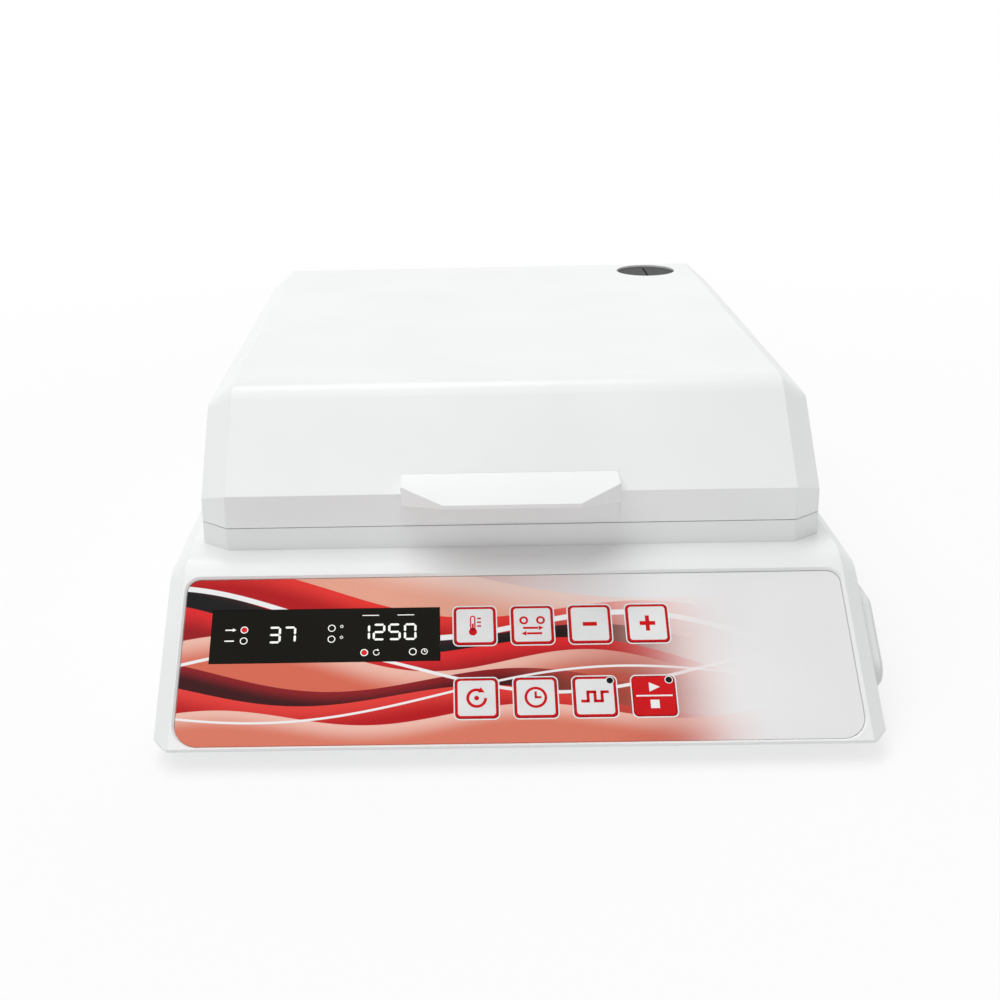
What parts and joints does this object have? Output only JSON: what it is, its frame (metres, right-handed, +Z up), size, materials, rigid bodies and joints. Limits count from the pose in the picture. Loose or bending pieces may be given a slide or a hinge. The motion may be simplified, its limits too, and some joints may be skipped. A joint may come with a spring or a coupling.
{
  "type": "incubator shaker",
  "caption": "Low benchtop incubating shaker with a sloping control front, hinged insulated lid with probe port, and an orbital platform with microplate bays on a belt-driven eccentric.",
  "frame": {"origin": "middle of the housing's footprint, on the table under the feet", "axes": "+X to the right of someone who faces the controls, +Y to the back, +Z up"},
  "size_m": [0.2745, 0.4, 0.117],
  "materials": {
    "housing": "moulded, satin gloss",
    "lid": "moulded, satin gloss",
    "handle": "moulded, satin",
    "vent_cover": "moulded, fine grain",
    "feet": "moulded, matt",
    "base_plate": "zinc coated sheet",
    "rear_panel": "powder coated",
    "inlet_body": "moulded",
    "inlet_pins": "nickel plated",
    "switch_body": "moulded",
    "rocker": "moulded, gloss",
    "fan": "moulded",
    "overlay": "printed polyester film",
    "display_window": "tinted clear acrylic",
    "display_module": "potted module",
    "circuit_board": "glass fibre board",
    "key_switches": "moulded",
    "key_white": "printed key cap",
    "key_red": "printed key cap",
    "pan": "clear anodised",
    "liner": "clear anodised",
    "seal": "silicone sponge",
    "heater": "silicone foil",
    "foam": "closed cell foam",
    "sensor": "stainless tube",
    "cast_aluminium": "machined casting",
    "bright_steel": "ground",
    "bearing_steel": "polished race",
    "pulley": "turned",
    "counterweight": "sawn and zinc coated",
    "bracket": "zinc coated sheet",
    "motor": "enamelled can",
    "belt": "polyurethane round belt",
    "power_supply": "folded tray with its parts",
    "platform": "anodised casting",
    "rails": "moulded acetal",
    "mats": "ribbed non-slip mat",
    "spring_steel": "stainless strip",
    "port_sleeve": "moulded",
    "grommet": "slit silicone disc",
    "hinge": "powder coated casting"
  },
  "bodies": {
    "base": {"base_housing": "housing", "base_plate": "base_plate", "rubber_feet": "feet", "side_vent_cover": "vent_cover", "rear_panel": "rear_panel", "mains_inlet": "inlet_body", "inlet_pins": "inlet_pins", "power_switch_frame": "switch_body", "cooling_fan_frame": "fan", "control_overlay": "overlay", "display_window": "display_window", "display_module": "display_module", "control_board": "circuit_board", "key_switches": "key_switches", "chamber_pan": "pan", "lid_seal": "seal", "heater_foil": "heater", "chamber_insulation": "foam", "temperature_sensor": "sensor", "chassis_plate": "cast_aluminium", "chassis_pillars": "bright_steel", "bearing_housing": "cast_aluminium", "chassis_bearings": "bearing_steel", "motor_bracket": "bracket", "drive_motor": "motor", "drive_belt": "belt", "power_supply": "power_supply", "hinge_brackets": "hinge", "hinge_pins": "bright_steel"},
    "lid": {"lid_shell": "lid", "lid_liner": "liner", "lid_insulation": "foam", "lid_handle": "handle", "port_sleeve": "port_sleeve", "port_grommet": "grommet", "hinge_arms": "hinge"},
    "spindle": {"spindle": "bright_steel", "spindle_pulley": "pulley", "counterweight": "counterweight"},
    "platform": {"shaker_platform": "platform", "plate_rails": "rails", "plate_mats": "mats", "platform_bearings": "bearing_steel", "plate_springs": "spring_steel"},
    "motor_rotor": {"motor_pulley": "bright_steel"},
    "fan_rotor": {"cooling_fan_rotor": "fan"},
    "rocker": {"power_rocker": "rocker"},
    "fuse_drawer": {"fuse_drawer": "inlet_body"},
    "idler_front_left": {"idler_crank_front_left": "bright_steel"},
    "idler_front_right": {"idler_crank_front_right": "bright_steel"},
    "idler_rear_left": {"idler_crank_rear_left": "bright_steel"},
    "idler_rear_right": {"idler_crank_rear_right": "bright_steel"},
    "key_temp": {"key_temp": "key_white"},
    "key_units": {"key_units": "key_white"},
    "key_minus": {"key_minus": "key_white"},
    "key_plus": {"key_plus": "key_white"},
    "key_speed": {"key_speed": "key_white"},
    "key_time": {"key_time": "key_white"},
    "key_pulse": {"key_pulse": "key_white"},
    "key_start_stop": {"key_start_stop": "key_red"}
  },
  "joints": [
    {"name": "lid_hinge", "type": "hinge", "parent": "base", "child": "lid", "pos_m": [0, 0.171, 0.0678], "axis": [-1, 0, 0], "range_deg": [0, 95]},
    {"name": "spindle_spin", "type": "hinge", "parent": "base", "child": "spindle", "pos_m": [0, 0.01625, 0.03], "axis": [0, 0, 1], "continuous": true},
    {"name": "platform_orbit", "type": "hinge", "parent": "spindle", "child": "platform", "pos_m": [0.0015, 0.01625, 0.0515], "axis": [0, 0, 1], "continuous": true},
    {"name": "motor_spin", "type": "hinge", "parent": "base", "child": "motor_rotor", "pos_m": [0, 0.176, 0.02], "axis": [0, 0, 1], "continuous": true},
    {"name": "fan_spin", "type": "hinge", "parent": "base", "child": "fan_rotor", "pos_m": [0.09, 0.19, 0.03], "axis": [0, 1, 0], "continuous": true},
    {"name": "power_rocker_tip", "type": "hinge", "parent": "base", "child": "rocker", "pos_m": [-0.057, 0.1956, 0.03], "axis": [-1, 0, 0], "range_deg": [0, 16]},
    {"name": "fuse_drawer_slide", "type": "slide", "parent": "base", "child": "fuse_drawer", "axis": [0, 1, 0], "range_m": [0, 0.018]},
    {"name": "idler_front_left_spin", "type": "hinge", "parent": "base", "child": "idler_front_left", "pos_m": [-0.078, -0.0837, 0.036], "axis": [0, 0, 1], "continuous": true},
    {"name": "idler_front_right_spin", "type": "hinge", "parent": "base", "child": "idler_front_right", "pos_m": [0.078, -0.0837, 0.036], "axis": [0, 0, 1], "continuous": true},
    {"name": "idler_rear_left_spin", "type": "hinge", "parent": "base", "child": "idler_rear_left", "pos_m": [-0.078, 0.1162, 0.036], "axis": [0, 0, 1], "continuous": true},
    {"name": "idler_rear_right_spin", "type": "hinge", "parent": "base", "child": "idler_rear_right", "pos_m": [0.078, 0.1162, 0.036], "axis": [0, 0, 1], "continuous": true},
    {"name": "key_temp_press", "type": "slide", "parent": "base", "child": "key_temp", "axis": [0, 0.6304, -0.7763], "range_m": [0, 0.0005], "stiffness_N_per_m": 400},
    {"name": "key_units_press", "type": "slide", "parent": "base", "child": "key_units", "axis": [0, 0.6304, -0.7763], "range_m": [0, 0.0005], "stiffness_N_per_m": 400},
    {"name": "key_minus_press", "type": "slide", "parent": "base", "child": "key_minus", "axis": [0, 0.6304, -0.7763], "range_m": [0, 0.0005], "stiffness_N_per_m": 400},
    {"name": "key_plus_press", "type": "slide", "parent": "base", "child": "key_plus", "axis": [0, 0.6304, -0.7763], "range_m": [0, 0.0005], "stiffness_N_per_m": 400},
    {"name": "key_speed_press", "type": "slide", "parent": "base", "child": "key_speed", "axis": [0, 0.6304, -0.7763], "range_m": [0, 0.0005], "stiffness_N_per_m": 400},
    {"name": "key_time_press", "type": "slide", "parent": "base", "child": "key_time", "axis": [0, 0.6304, -0.7763], "range_m": [0, 0.0005], "stiffness_N_per_m": 400},
    {"name": "key_pulse_press", "type": "slide", "parent": "base", "child": "key_pulse", "axis": [0, 0.6304, -0.7763], "range_m": [0, 0.0005], "stiffness_N_per_m": 400},
    {"name": "key_start_stop_press", "type": "slide", "parent": "base", "child": "key_start_stop", "axis": [0, 0.6304, -0.7763], "range_m": [0, 0.0005], "stiffness_N_per_m": 400}
  ],
  "couplings": [
    {"joint": "platform_orbit", "follows": "spindle_spin", "ratio": -1},
    {"joint": "motor_spin", "follows": "spindle_spin", "ratio": 3.3},
    {"joint": "idler_front_left_spin", "follows": "spindle_spin", "ratio": 1},
    {"joint": "idler_front_right_spin", "follows": "spindle_spin", "ratio": 1},
    {"joint": "idler_rear_left_spin", "follows": "spindle_spin", "ratio": 1},
    {"joint": "idler_rear_right_spin", "follows": "spindle_spin", "ratio": 1}
  ]
}
